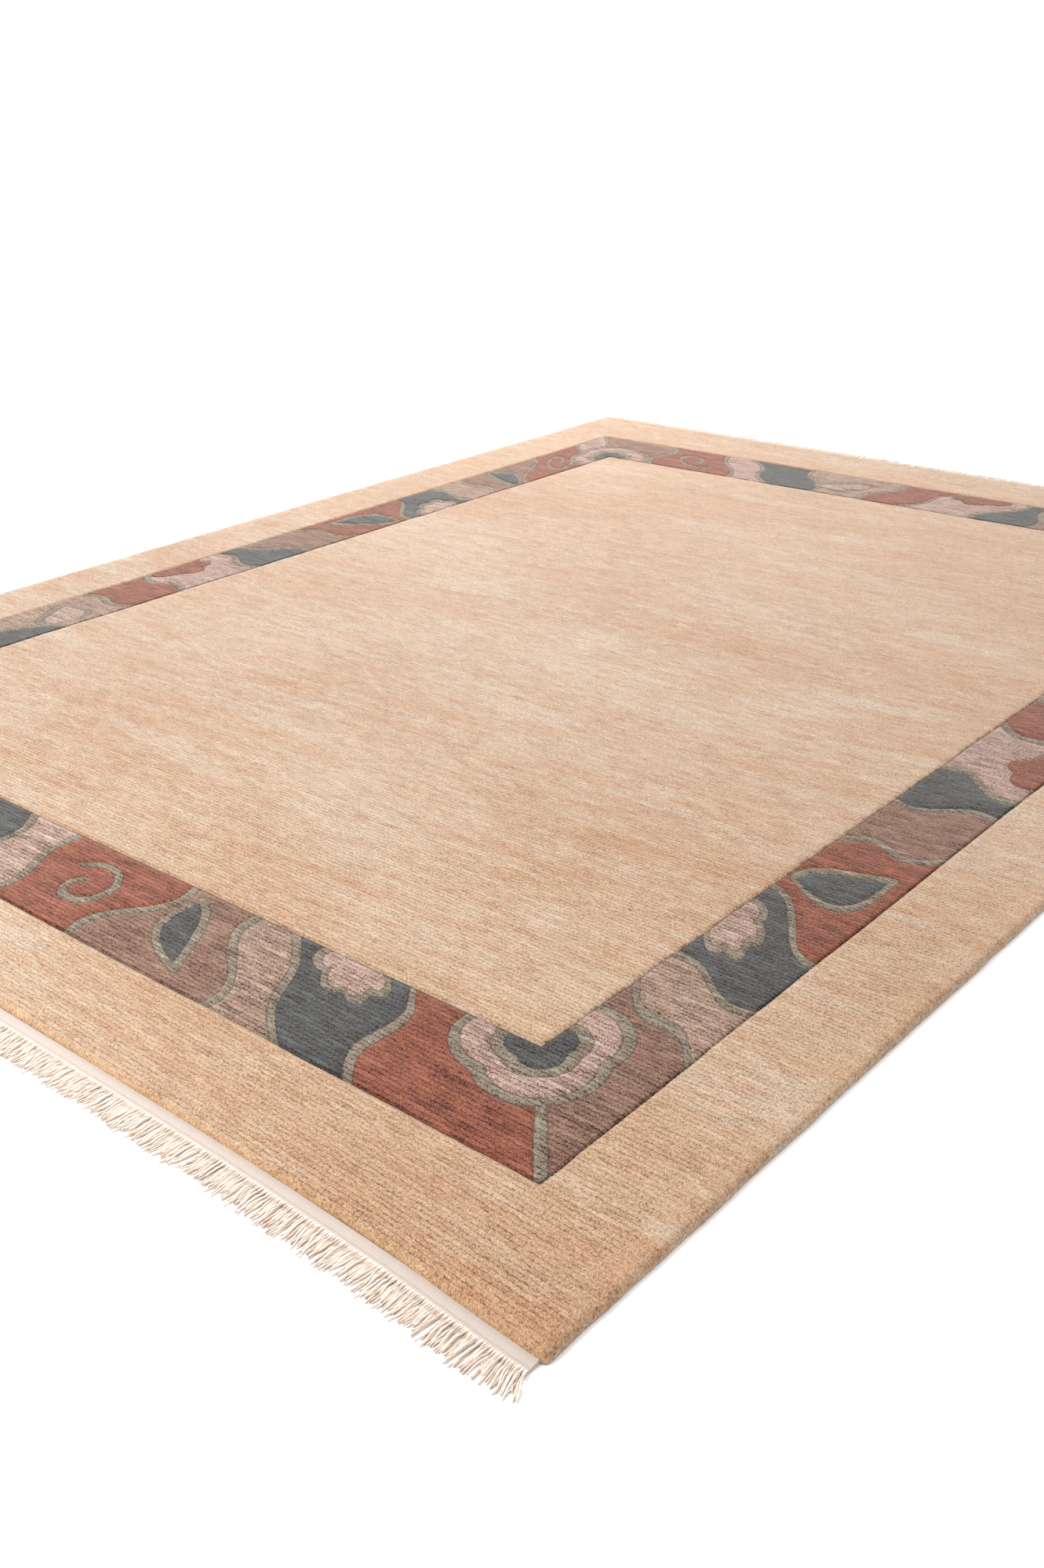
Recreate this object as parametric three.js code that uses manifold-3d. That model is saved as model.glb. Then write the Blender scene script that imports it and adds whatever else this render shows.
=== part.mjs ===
// A hand-knotted Tibetan wool rug, lying flat: one thick cloth of cut pile with a carved border, and at
// each end a flat-woven strip whose warps run out as a short fringe.
// Millimetres, +Z up. X runs along the fringed ends, Y along the sides, and the origin is on the floor
// under the rug's middle. The near end is at -Y.
import * as THREE from "three";
import { mergeVertices } from "three/addons/utils/BufferGeometryUtils.js";
import Module from "manifold-3d";

const wasm = await Module();
wasm.setup();

// Driving dimensions
const PILE_WIDTH = 1970;
const PILE_LENGTH = 2564;
const PILE_THICKNESS = 12;
const CORNER_RADIUS = 6;
const STATIONS_PER_SIDE = 12;
const CLEARANCE = 0.3;

// How far each side stands out from the plain rectangle. `at` runs from -1 to 1, anticlockwise along the side.
const SIDES = {
  near: [
    { at: -1, out: 1 },
    { at: -0.4, out: -2 },
    { at: 0.2, out: 0 },
    { at: 0.6, out: 2 },
    { at: 0.82, out: 9 },
    { at: 1, out: 20 },
  ],
  right: [
    { at: -1, out: 0 },
    { at: -0.3, out: -2 },
    { at: 0.4, out: 1 },
    { at: 1, out: -1 },
  ],
  far: [
    { at: -1, out: -4 },
    { at: -0.2, out: -5 },
    { at: 0.2, out: 4 },
    { at: 0.6, out: 10 },
    { at: 1, out: 20 },
  ],
  left: [
    { at: -1, out: -7 },
    { at: -0.4, out: 0 },
    { at: 0.1, out: 2 },
    { at: 1, out: -2 },
  ],
};

// The pile's rounded edge, from the floor up: how far each level lies inside the outline.
const EDGE_PROFILE = [
  { inset: 1.5, height: 0 },
  { inset: 0, height: 2.5 },
  { inset: 0, height: 7.5 },
  { inset: 1.6, height: 10.6 },
  { inset: 5, height: PILE_THICKNESS },
];

// The corners of the border band, which goes round anticlockwise from the near left one.
const BORDER = [
  { outer: [-857, -1155], inner: [-733, -998] },
  { outer: [853, -1151], inner: [719, -989] },
  { outer: [842, 1121], inner: [715, 970] },
  { outer: [-838, 1119], inner: [-703, 957] },
];

// Carved V grooves. An open groove's ends rise to a point, END_SHARE of the way from the face to the lift.
const EDGE_GROOVE = { width: 6, depth: 3 };
const FIGURE_GROOVE = { width: 8, depth: 2.6 };
const GROOVE_LIFT = 1;
const END_SHARE = 0.3;
const LINE_STEPS = 6;
const LEAF_STEPS = 6;
const FAN_STEPS = 10;
const SCROLL_STEPS = 11;
const CORNER_STEPS = 14;

// The border's patches, used in turn along each side. `span` is a patch's length, `lean` and `sway` bend the
// line that ends it, and `figure` is what is knotted on it.
const PATCHES = [
  { span: 210, lean: 85, sway: 16, figure: { kind: "leaf", length: 158, width: 64, turn: 38 } },
  { span: 130, lean: 60, sway: -12, figure: null },
  { span: 95, lean: -20, sway: 14, figure: null },
  { span: 165, lean: -70, sway: -15, figure: { kind: "fan", radius: 64, lobes: 3, from: "outer" } },
  { span: 120, lean: -40, sway: 12, figure: null },
  { span: 180, lean: 50, sway: -14, figure: { kind: "leaf", length: 148, width: 58, turn: 148 } },
  { span: 150, lean: 80, sway: 15, figure: null },
  { span: 90, lean: 30, sway: -10, figure: null },
  { span: 200, lean: -65, sway: 16, figure: { kind: "scroll", radius: 54, turns: 1.15, turn: 210 } },
  { span: 175, lean: 35, sway: -16, figure: { kind: "leaf", length: 132, width: 56, turn: 62 } },
  { span: 85, lean: 70, sway: 10, figure: null },
  { span: 150, lean: -30, sway: 14, figure: { kind: "fan", radius: 60, lobes: 4, from: "inner" } },
];

// Each side of the border starts with its `first` patch. The patches at its two corners carry no figure.
const BORDER_SIDES = [
  { first: 2, patches: 11 },
  { first: 9, patches: 14 },
  { first: 11, patches: 11 },
  { first: 7, patches: 14 },
];

// The lobed figure round each inner corner of the border
const CORNER_FIGURE = { radius: 92, lobeShare: 0.22, lobes: 1.5, sweep: 124 };

// The flat-woven end strip, as a section: `across` is measured outwards from the pile.
const STRIP_PROFILE = [
  { across: 0, height: 0 },
  { across: 18, height: 0 },
  { across: 18, height: 2.4 },
  { across: 17, height: 3.4 },
  { across: 15.4, height: 3.4 },
  { across: 14.2, height: 2.6 },
  { across: 0, height: 3 },
];
const STRIP_WIDTH = 18;

// Fringe
const STRANDS_PER_END = 150;
const STRAND = {
  width: 5,
  height: 2.3,
  shortest: 24,
  longest: 34,
  rootDepth: 2,
  tipShare: 0.6,
  lean: 7,
  leanWaves: 9,
  ownLean: 1.6,
};
const FRINGE_SEEDS = { near: 11, far: 47 };

// Shared colours
const sandPile = new THREE.MeshStandardMaterial({ color: 0xd9b58b, roughness: 0.95, metalness: 0 });
const nearCotton = new THREE.MeshStandardMaterial({ color: 0xe9dccb, roughness: 0.9, metalness: 0 });
const farCotton = new THREE.MeshStandardMaterial({ color: 0xe6d8c6, roughness: 0.9, metalness: 0 });

// A smooth value from a side's table.
function outAt(table, at) {
  const curve = new THREE.SplineCurve(table.map((row) => new THREE.Vector2(row.at, row.out)));
  const last = table.length - 1;
  let k = 0;
  while (k < last - 1 && at > table[k + 1].at) k += 1;
  const share = (at - table[k].at) / (table[k + 1].at - table[k].at);
  return curve.getPoint((k + share) / last).y;
}

// The triangles that close a flat section, anticlockwise about its own normal.
function capTriangles(section) {
  const normal = new THREE.Vector3();
  section.forEach((point, i) => {
    const next = section[(i + 1) % section.length];
    normal.x += (point.y - next.y) * (point.z + next.z);
    normal.y += (point.z - next.z) * (point.x + next.x);
    normal.z += (point.x - next.x) * (point.y + next.y);
  });
  const across = section[1].clone().sub(section[0]).normalize();
  const up = normal.normalize().cross(across);
  const flat = section.map((point) => new THREE.Vector2(point.dot(across), point.dot(up)));
  return THREE.ShapeUtils.triangulateShape(flat, []);
}

// Joins flat closed sections with equal numbers of points into one closed body. With `around`, the last
// section meets the first and there are no caps.
function loft(sections, around = false) {
  const count = sections[0].length;
  const index = [];
  const joints = around ? sections.length : sections.length - 1;
  for (let s = 0; s < joints; s += 1) {
    const here = s * count;
    const next = ((s + 1) % sections.length) * count;
    for (let i = 0; i < count; i += 1) {
      const j = (i + 1) % count;
      index.push(here + i, here + j, next + j);
      index.push(here + i, next + j, next + i);
    }
  }
  if (!around) {
    const end = (sections.length - 1) * count;
    for (const [a, b, c] of capTriangles(sections[0])) index.push(c, b, a);
    for (const [a, b, c] of capTriangles(sections.at(-1))) index.push(end + a, end + b, end + c);
  }
  const geometry = new THREE.BufferGeometry().setFromPoints(sections.flat());
  geometry.setIndex(index);
  return geometry;
}

// A geometry as a solid that can be joined or cut. One whose faces point inwards is turned round first.
function solidFrom(geometry) {
  const merged = mergeVertices(geometry, 1e-4);
  const vertProperties = new Float32Array(merged.attributes.position.array);
  const triVerts = new Uint32Array(merged.index.array);
  const solid = new wasm.Manifold(new wasm.Mesh({ numProp: 3, vertProperties, triVerts }));
  if (solid.volume() > 0) return solid;
  return new wasm.Manifold(new wasm.Mesh({ numProp: 3, vertProperties, triVerts: triVerts.reverse() }));
}

function geometryFrom(solid) {
  const { vertProperties, triVerts } = solid.getMesh();
  const geometry = new THREE.BufferGeometry();
  geometry.setAttribute("position", new THREE.BufferAttribute(vertProperties, 3));
  geometry.setIndex(new THREE.BufferAttribute(triVerts, 1));
  geometry.computeVertexNormals();
  return geometry;
}

// The four sides in turn, with the way each runs and faces.
const HALF_WIDTH = PILE_WIDTH / 2;
const HALF_LENGTH = PILE_LENGTH / 2;
const RUNS = [
  { table: SIDES.near, along: [1, 0], outward: [0, -1], half: HALF_WIDTH, reach: HALF_LENGTH },
  { table: SIDES.right, along: [0, 1], outward: [1, 0], half: HALF_LENGTH, reach: HALF_WIDTH },
  { table: SIDES.far, along: [-1, 0], outward: [0, 1], half: HALF_WIDTH, reach: HALF_LENGTH },
  { table: SIDES.left, along: [0, -1], outward: [-1, 0], half: HALF_LENGTH, reach: HALF_WIDTH },
];

function placeOnRun(run, along, out) {
  return [run.along[0] * along + run.outward[0] * out, run.along[1] * along + run.outward[1] * out];
}

// The points of one side's edge, between its two rounded corners.
function edgeStations(k) {
  const run = RUNS[k];
  const start = -run.half - outAt(RUNS[(k + 3) % 4].table, 1) + CORNER_RADIUS;
  const end = run.half + outAt(RUNS[(k + 1) % 4].table, -1) - CORNER_RADIUS;
  const stations = [];
  for (let i = 0; i <= STATIONS_PER_SIDE; i += 1) {
    const share = i / STATIONS_PER_SIDE;
    const out = run.reach + outAt(run.table, THREE.MathUtils.lerp(-1, 1, share));
    stations.push({ along: THREE.MathUtils.lerp(start, end, share), out });
  }
  return stations;
}

// One closed level of the pile's outline, with rounded corners.
function pileLevel({ inset, height }) {
  const level = [];
  RUNS.forEach((run, k) => {
    const stations = edgeStations(k);
    const end = stations[STATIONS_PER_SIDE].along;
    for (const { along, out } of stations) {
      level.push(new THREE.Vector3(...placeOnRun(run, along, out - inset), height));
    }
    const cornerOut = run.reach + outAt(run.table, 1) - CORNER_RADIUS;
    for (const degrees of [30, 60]) {
      const angle = THREE.MathUtils.degToRad(degrees);
      const radius = CORNER_RADIUS - inset;
      const along = end + radius * Math.sin(angle);
      level.push(new THREE.Vector3(...placeOnRun(run, along, cornerOut + radius * Math.cos(angle)), height));
    }
  });
  return level;
}

// A V groove along a flat line of points. An open groove runs out to a point at each end.
function grooveAlong(line, { width, depth }, closed) {
  const count = line.length;
  const top = PILE_THICKNESS + GROOVE_LIFT;
  const halfTop = (width / 2) * ((depth + GROOVE_LIFT) / depth);
  const sections = line.map((point, i) => {
    const before = closed ? line[(i + count - 1) % count] : line[Math.max(i - 1, 0)];
    const after = closed ? line[(i + 1) % count] : line[Math.min(i + 1, count - 1)];
    const heading = after.clone().sub(before).normalize();
    const isEnd = !closed && (i === 0 || i === count - 1);
    const half = isEnd ? halfTop * END_SHARE : halfTop;
    const deepest = PILE_THICKNESS + (isEnd ? GROOVE_LIFT * END_SHARE : -depth);
    return [
      new THREE.Vector3(point.x + heading.y * half, point.y - heading.x * half, top),
      new THREE.Vector3(point.x - heading.y * half, point.y + heading.x * half, top),
      new THREE.Vector3(point.x, point.y, deepest),
    ];
  });
  return loft(sections, closed);
}

// A mitred groove round a ring of corners.
function grooveRing(corners, { width, depth }) {
  const top = PILE_THICKNESS + GROOVE_LIFT;
  const halfTop = (width / 2) * ((depth + GROOVE_LIFT) / depth);
  const sections = corners.map(([x, y]) => [
    new THREE.Vector3(x + Math.sign(x) * halfTop, y + Math.sign(y) * halfTop, top),
    new THREE.Vector3(x - Math.sign(x) * halfTop, y - Math.sign(y) * halfTop, top),
    new THREE.Vector3(x, y, PILE_THICKNESS - depth),
  ]);
  return loft(sections, true);
}

// A place on one side of the border: `share` runs along it, `across` from its inner to its outer edge.
function placeOnBorder(k, share, across) {
  const from = BORDER[k];
  const to = BORDER[(k + 1) % 4];
  const mix = (i) => {
    const inner = THREE.MathUtils.lerp(from.inner[i], to.inner[i], share);
    const outer = THREE.MathUtils.lerp(from.outer[i], to.outer[i], share);
    return THREE.MathUtils.lerp(inner, outer, across);
  };
  return new THREE.Vector2(mix(0), mix(1));
}

function borderSize(k) {
  const length = placeOnBorder(k, 0, 0.5).distanceTo(placeOnBorder(k, 1, 0.5));
  const width = placeOnBorder(k, 0.5, 0).distanceTo(placeOnBorder(k, 0.5, 1));
  return { length, width };
}

// A figure's carved line, in millimetres along and across the border from its patch's middle.
const FIGURE_LINES = {
  leaf({ length, width, turn }) {
    const line = [];
    const angle = THREE.MathUtils.degToRad(turn);
    for (const side of [1, -1]) {
      for (let i = 0; i < LEAF_STEPS; i += 1) {
        const share = side > 0 ? i / LEAF_STEPS : 1 - i / LEAF_STEPS;
        const half = (width / 2) * Math.sin(Math.PI * share ** 0.8);
        const bend = (width / 4) * Math.sin(Math.PI * share);
        line.push(new THREE.Vector2((share - 0.5) * length, side * half + bend - width / 8));
      }
    }
    return { line: line.map((p) => p.rotateAround(new THREE.Vector2(), angle)), closed: true };
  },
  scroll({ radius, turns, turn }) {
    const line = [];
    for (let i = 0; i <= SCROLL_STEPS; i += 1) {
      const share = i / SCROLL_STEPS;
      const angle = THREE.MathUtils.degToRad(turn) + share * turns * 2 * Math.PI;
      const reach = radius * (1 - 0.8 * share);
      line.push(new THREE.Vector2(reach * Math.cos(angle), reach * Math.sin(angle)));
    }
    return { line, closed: false };
  },
  fan({ radius, lobes, from }, width) {
    const line = [];
    const facing = from === "outer" ? -1 : 1;
    for (let i = 0; i <= FAN_STEPS; i += 1) {
      const angle = THREE.MathUtils.lerp(0.06, 0.94, i / FAN_STEPS) * Math.PI;
      const reach = radius * (0.8 + 0.2 * Math.abs(Math.sin(lobes * angle)));
      line.push(new THREE.Vector2(reach * Math.cos(angle), facing * (reach * Math.sin(angle) - width / 2)));
    }
    return { line, closed: false };
  },
};

// The lobed line round an inner corner, open towards the field.
function cornerLine({ outer, inner }) {
  const middle = new THREE.Vector2(...inner);
  const diagonal = new THREE.Vector2(...outer).sub(middle).angle();
  const line = [];
  for (let i = 0; i <= CORNER_STEPS; i += 1) {
    const angle = THREE.MathUtils.degToRad(THREE.MathUtils.lerp(-1, 1, i / CORNER_STEPS) * CORNER_FIGURE.sweep);
    const lobe = CORNER_FIGURE.lobeShare * (1 - Math.abs(Math.cos(CORNER_FIGURE.lobes * angle)));
    const reach = CORNER_FIGURE.radius * (1 - lobe);
    line.push(new THREE.Vector2(reach, 0).rotateAround(new THREE.Vector2(), diagonal + angle).add(middle));
  }
  return line;
}

// The straight mitre from the lobed figure out to the border's outer corner.
function mitreLine({ outer, inner }) {
  const from = new THREE.Vector2(...inner);
  const to = new THREE.Vector2(...outer);
  const startShare = CORNER_FIGURE.radius / from.distanceTo(to);
  return [startShare, (startShare + 1) / 2, 1].map((share) => from.clone().lerp(to, share));
}

// Every carved line of one side of the border: the corner at its start, then each patch's end and figure.
function borderGrooves(k) {
  const { first, patches } = BORDER_SIDES[k];
  const { length, width } = borderSize(k);
  const rows = [];
  for (let i = 0; i < patches; i += 1) rows.push(PATCHES[(first + i) % PATCHES.length]);
  const fit = length / rows.reduce((sum, row) => sum + row.span, 0);
  const corner = [cornerLine(BORDER[k]), mitreLine(BORDER[k])];
  const grooves = corner.map((line) => grooveAlong(line, FIGURE_GROOVE, false));
  let travelled = 0;
  rows.forEach((row, i) => {
    const middle = (travelled + (row.span * fit) / 2) / length;
    travelled += row.span * fit;
    if (i === rows.length - 1) return;
    const end = [];
    for (let j = 0; j <= LINE_STEPS; j += 1) {
      const across = j / LINE_STEPS;
      const shift = row.lean * (across - 0.5) + row.sway * Math.sin(2 * Math.PI * across);
      end.push(placeOnBorder(k, (travelled + shift) / length, across));
    }
    grooves.push(grooveAlong(end, FIGURE_GROOVE, false));
    if (!row.figure || i === 0) return;
    const { line, closed } = FIGURE_LINES[row.figure.kind](row.figure, width);
    const placed = line.map((p) => placeOnBorder(k, middle + p.x / length, 0.5 + p.y / width));
    grooves.push(grooveAlong(placed, FIGURE_GROOVE, closed));
  });
  return grooves;
}

// The pile: one thick cloth with a rounded edge, and the border carved into its face.
function makePile() {
  let pile = solidFrom(loft(EDGE_PROFILE.map(pileLevel)));
  const grooves = [
    grooveRing(BORDER.map((corner) => corner.outer), EDGE_GROOVE),
    grooveRing(BORDER.map((corner) => corner.inner), EDGE_GROOVE),
  ];
  BORDER.forEach((corner, k) => grooves.push(...borderGrooves(k)));
  for (const groove of grooves) pile = pile.subtract(solidFrom(groove));
  return geometryFrom(pile);
}

// One end: the flat-woven strip along the pile's edge, with the strands of the fringe fused into it.
function makeEnd(k, seed) {
  const run = RUNS[k];
  const stations = edgeStations(k);
  const start = stations[0].along + STRAND.width;
  const end = stations[STATIONS_PER_SIDE].along - STRAND.width;
  const place = (along, out, height) => new THREE.Vector3(...placeOnRun(run, along, out), height);
  const sections = stations.map(({ along, out }) =>
    STRIP_PROFILE.map((row) => place(along, out + CLEARANCE + row.across, row.height)),
  );
  let solid = solidFrom(loft(sections));
  const random = (salt) => THREE.MathUtils.seededRandom(seed + salt) * 2 - 1;
  for (let i = 0; i < STRANDS_PER_END; i += 1) {
    const share = (i + 0.5) / STRANDS_PER_END;
    const edge = run.reach + outAt(run.table, THREE.MathUtils.lerp(-1, 1, share));
    const rootOut = edge + CLEARANCE + STRIP_WIDTH - STRAND.rootDepth;
    const length = THREE.MathUtils.lerp(STRAND.shortest, STRAND.longest, (random(i) + 1) / 2);
    const wave = Math.sin(share * STRAND.leanWaves * 2 * Math.PI + seed);
    const lean = STRAND.lean * wave + STRAND.ownLean * random(i + STRANDS_PER_END);
    const strand = [0, 0.55, 1].map((reach) => {
      const size = THREE.MathUtils.lerp(1, STRAND.tipShare, reach);
      const along = THREE.MathUtils.lerp(start, end, share) + lean * reach ** 1.5;
      const out = rootOut + (STRAND.rootDepth + length) * reach;
      const half = (STRAND.width / 2) * size;
      return [
        place(along - half, out, 0),
        place(along + half, out, 0),
        place(along, out, STRAND.height * size),
      ];
    });
    solid = solid.add(solidFrom(loft(strand)));
  }
  return geometryFrom(solid);
}

function addMesh(group, name, geometry, material) {
  const mesh = new THREE.Mesh(geometry, material);
  mesh.name = name;
  group.add(mesh);
}

// The rug, moved so that the middle of its whole outline is over the origin.
const rug = new THREE.Group();
addMesh(rug, "pile_rug", makePile(), sandPile);
addMesh(rug, "fringe_near", makeEnd(0, FRINGE_SEEDS.near), nearCotton);
addMesh(rug, "fringe_far", makeEnd(2, FRINGE_SEEDS.far), farCotton);
const middle = new THREE.Box3().setFromObject(rug).getCenter(new THREE.Vector3());
rug.position.set(-middle.x, -middle.y, 0);

export default rug;
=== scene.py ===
import math

import bpy
import numpy as np
from mathutils import Matrix, Vector


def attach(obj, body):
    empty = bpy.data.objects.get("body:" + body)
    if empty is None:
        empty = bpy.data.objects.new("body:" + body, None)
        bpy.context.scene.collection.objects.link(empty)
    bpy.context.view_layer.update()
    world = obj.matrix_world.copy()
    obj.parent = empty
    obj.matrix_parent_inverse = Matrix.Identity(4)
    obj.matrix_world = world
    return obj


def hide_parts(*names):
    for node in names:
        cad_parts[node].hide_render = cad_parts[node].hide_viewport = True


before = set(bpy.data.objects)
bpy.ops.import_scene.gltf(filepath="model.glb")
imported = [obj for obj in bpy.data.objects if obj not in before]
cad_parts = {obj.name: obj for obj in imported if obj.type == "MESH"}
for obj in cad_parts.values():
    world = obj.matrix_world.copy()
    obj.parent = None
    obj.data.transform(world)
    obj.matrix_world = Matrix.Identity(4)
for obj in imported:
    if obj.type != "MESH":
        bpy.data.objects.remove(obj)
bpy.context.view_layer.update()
print("loaded", len(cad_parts), "nodes of the packed rug")
bpy.ops.object.select_all(action="DESELECT")
mm = 0.001

# The rug in millimetres, measured from its plain rectangle's middle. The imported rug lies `middle` off that.
rug = {
    "halfWidth": 985,
    "halfLength": 1282,
    "thickness": 12,
    "cornerRadius": 6,
    "clearance": 0.3,
    "middle": (-0.5656, -0.4492),
    "knotPitch": 3.15,          # one knot along a row
    "rowPitch": 3.03,           # one row of knots
    "smoothAngle": 62,          # degrees
}

# How far each side stands out from the rectangle: (-1 to 1 anticlockwise along the side, millimetres)
sides = {
    "near": [(-1, 1), (-0.4, -2), (0.2, 0), (0.6, 2), (0.82, 9), (1, 20)],
    "right": [(-1, 0), (-0.3, -2), (0.4, 1), (1, -1)],
    "far": [(-1, -4), (-0.2, -5), (0.2, 4), (0.6, 10), (1, 20)],
    "left": [(-1, -7), (-0.4, 0), (0.1, 2), (1, -2)],
}

border = {
    "outer": [(-857, -1155), (853, -1151), (842, 1121), (-838, 1119)],
    "inner": [(-733, -998), (719, -989), (715, 970), (-703, 957)],
    "sidePatches": [(2, 11), (9, 14), (11, 11), (7, 14)],   # first patch and how many, for each side
    "outline": 5.6,             # half the width of the outlined line
    "outlineVaries": 1.5,
    "cornerReach": 92,
}

# The border's patches in turn. A patch's end line leans and sways across the band.
patches = [
    {"span": 210, "lean": 85, "sway": 16, "wool": "terracotta",
     "figure": "leaf", "size": (158, 64), "turn": 38, "tint": "slate"},
    {"span": 130, "lean": 60, "sway": -12, "wool": "mauve"},
    {"span": 95, "lean": -20, "sway": 14, "wool": "slate"},
    {"span": 165, "lean": -70, "sway": -15, "wool": "rose",
     "figure": "fan", "size": (64, 3), "turn": -1, "tint": "terracotta"},
    {"span": 120, "lean": -40, "sway": 12, "wool": "terracotta"},
    {"span": 180, "lean": 50, "sway": -14, "wool": "taupe",
     "figure": "leaf", "size": (148, 58), "turn": 148, "tint": "rose"},
    {"span": 150, "lean": 80, "sway": 15, "wool": "slate"},
    {"span": 90, "lean": 30, "sway": -10, "wool": "rose"},
    {"span": 200, "lean": -65, "sway": 16, "wool": "terracotta",
     "figure": "scroll", "size": (54, 1.15), "turn": 210, "tint": "sage"},
    {"span": 175, "lean": 35, "sway": -16, "wool": "mauve",
     "figure": "leaf", "size": (132, 56), "turn": 62, "tint": "slate"},
    {"span": 85, "lean": 70, "sway": 10, "wool": "taupe"},
    {"span": 150, "lean": -30, "sway": 14, "wool": "slate",
     "figure": "fan", "size": (60, 4), "turn": 1, "tint": "rose"},
]

# Dyed wools of the border
wools = {
    "terracotta": "#6e3f30",
    "slate": "#403f3e",
    "mauve": "#6d5245",
    "rose": "#897166",
    "taupe": "#7f685a",
    "sage": "#6c6153",
}

# Undyed wool of the field: two fleeces, pale patches that are partly worn tips and partly painted sheen where
# the pile lies another way, and the darker last row above each flat-woven end
sandWool = {
    "golden": "#bd9674",
    "cream": "#c1ab93",
    "wearAndSheen": "#d3c6b4",
    "blush": "#b3745c",
    "endRow": "#c7a079",
    # foot: painted shade at the foot of the long sides
    "foot": "#7b6a58",
}


def sRGB(hexColour):
    parts = [int(hexColour[i:i + 2], 16) / 255 for i in (1, 3, 5)]
    return tuple(c / 12.92 if c <= 0.04045 else ((c + 0.055) / 1.055) ** 2.4 for c in parts) + (1.0,)


colours = {"out": 2, "data_type": "RGBA"}      # for a Mix node that mixes two colours


# Adds a shader node with its settings and links, and gives back the output that is asked for
def addNode(tree, kind, links=None, out=0, **settings):
    node = tree.nodes.new("ShaderNode" + kind)
    for name, value in settings.items():
        setattr(node, name, value)
    for socket, value in (links or {}).items():
        if isinstance(value, bpy.types.NodeSocket):
            tree.links.new(value, node.inputs[socket])
        else:
            node.inputs[socket].default_value = value
    return node.outputs[out] if node.outputs else node


# Smooth random hills with a given spacing each way, from -1 to 1
def handNoise(x, y, cellX, cellY, seed):
    grid = np.random.default_rng(seed).uniform(-1, 1, (64, 64))
    u, v = x / cellX + 1000, y / cellY + 1000
    i, j = np.floor(u).astype(int), np.floor(v).astype(int)
    a, b = u - i, v - j
    a, b = a * a * (3 - 2 * a), b * b * (3 - 2 * b)
    near = grid[i % 64, j % 64] * (1 - a) + grid[(i + 1) % 64, j % 64] * a
    far = grid[i % 64, (j + 1) % 64] * (1 - a) + grid[(i + 1) % 64, (j + 1) % 64] * a
    return near * (1 - b) + far * b


# A smooth curve through a side's table
def outAt(table, at):
    rows = np.array(table, float)
    at = np.clip(at, -1, 1)
    k = np.clip(np.searchsorted(rows[:, 0], at) - 1, 0, len(rows) - 2)
    w = (at - rows[k, 0]) / (rows[k + 1, 0] - rows[k, 0])
    a, b, c, d = (rows[np.clip(k + i, 0, len(rows) - 1), 1] for i in (-1, 0, 1, 2))
    start, end = (c - a) / 2, (d - b) / 2
    return (2 * b - 2 * c + start + end) * w**3 + (3 * c - 3 * b - 2 * start - end) * w**2 + start * w + b


# Where the rug's own edge runs: y for the near and far ends, x for the long sides
def edgeAt(side, along):
    half = rug["halfWidth"] if side in ("near", "far") else rug["halfLength"]
    reach = rug["halfLength"] if side in ("near", "far") else rug["halfWidth"]
    forward = 1 if side in ("near", "right") else -1
    outward = 1 if side in ("right", "far") else -1
    return outward * (reach + outAt(sides[side], forward * along / half))


def straightLine(a, b, upright):
    (x0, y0), (x1, y1) = a, b
    if upright:
        return lambda y: x0 + (x1 - x0) * (y - y0) / (y1 - y0)
    return lambda x: y0 + (y1 - y0) * (x - x0) / (x1 - x0)


shoulder = 5      # the flat face ends this far inside the outline
outer, inner = border["outer"], border["inner"]
rowLines = [
    lambda x: edgeAt("near", x) + shoulder,
    straightLine(outer[0], outer[1], False),
    straightLine(inner[0], inner[1], False),
    straightLine(inner[3], inner[2], False),
    straightLine(outer[3], outer[2], False),
    lambda x: edgeAt("far", x) - shoulder,
]
columnLines = [
    lambda y: edgeAt("left", y) + shoulder,
    straightLine(outer[0], outer[3], True),
    straightLine(inner[0], inner[3], True),
    straightLine(inner[1], inner[2], True),
    straightLine(outer[1], outer[2], True),
    lambda y: edgeAt("right", y) - shoulder,
]
rowStops = [0, 46, 98, 744, 796, 852]                # knot rows counted from the near end, up to each line
columnStops = [-980, -847, -718, 717, 847, 980]      # roughly where each line crosses the rug


# A place from its share between the six lines each way: 0 is the near or left edge, 5 the far or right one
def placeOnRug(u, v):
    x = np.interp(u, range(6), columnStops)
    for _ in range(4):
        y = sum(line(x) * np.clip(1 - np.abs(v - j), 0, 1) for j, line in enumerate(rowLines))
        x = sum(line(y) * np.clip(1 - np.abs(u - i), 0, 1) for i, line in enumerate(columnLines))
    return x, y


def segmentDistance(x, y, a, b):
    dx, dy = b[0] - a[0], b[1] - a[1]
    share = np.clip(((x - a[0]) * dx + (y - a[1]) * dy) / (dx * dx + dy * dy), 0, 1)
    return np.hypot(x - a[0] - share * dx, y - a[1] - share * dy)


def lineDistance(x, y, a, b):
    dx, dy = b[0] - a[0], b[1] - a[1]
    return ((y - a[1]) * dx - (x - a[0]) * dy) / math.hypot(dx, dy)


def ringDistance(x, y, corners):
    return np.min([segmentDistance(x, y, corners[k], corners[(k + 1) % 4]) for k in range(4)], axis=0)


# How far a place lies from a leaf's outline, below zero inside it. The next two do it for a lobed fan that
# stands on the border's edge, and for the line of a scroll.
def leafDistance(along, across, size, turn):
    angle = math.radians(turn)
    l = along * math.cos(angle) + across * math.sin(angle)
    q = across * math.cos(angle) - along * math.sin(angle)
    share = np.clip(l / size[0] + 0.5, 0, 1)
    half = size[1] / 2 * np.sin(np.pi * share**0.8)
    bend = size[1] / 4 * np.sin(np.pi * share) - size[1] / 8
    beyond = np.abs(l) - size[0] / 2
    side = np.abs(q - bend) - half
    return np.where(beyond > 0, np.hypot(side, beyond), side)


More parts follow.
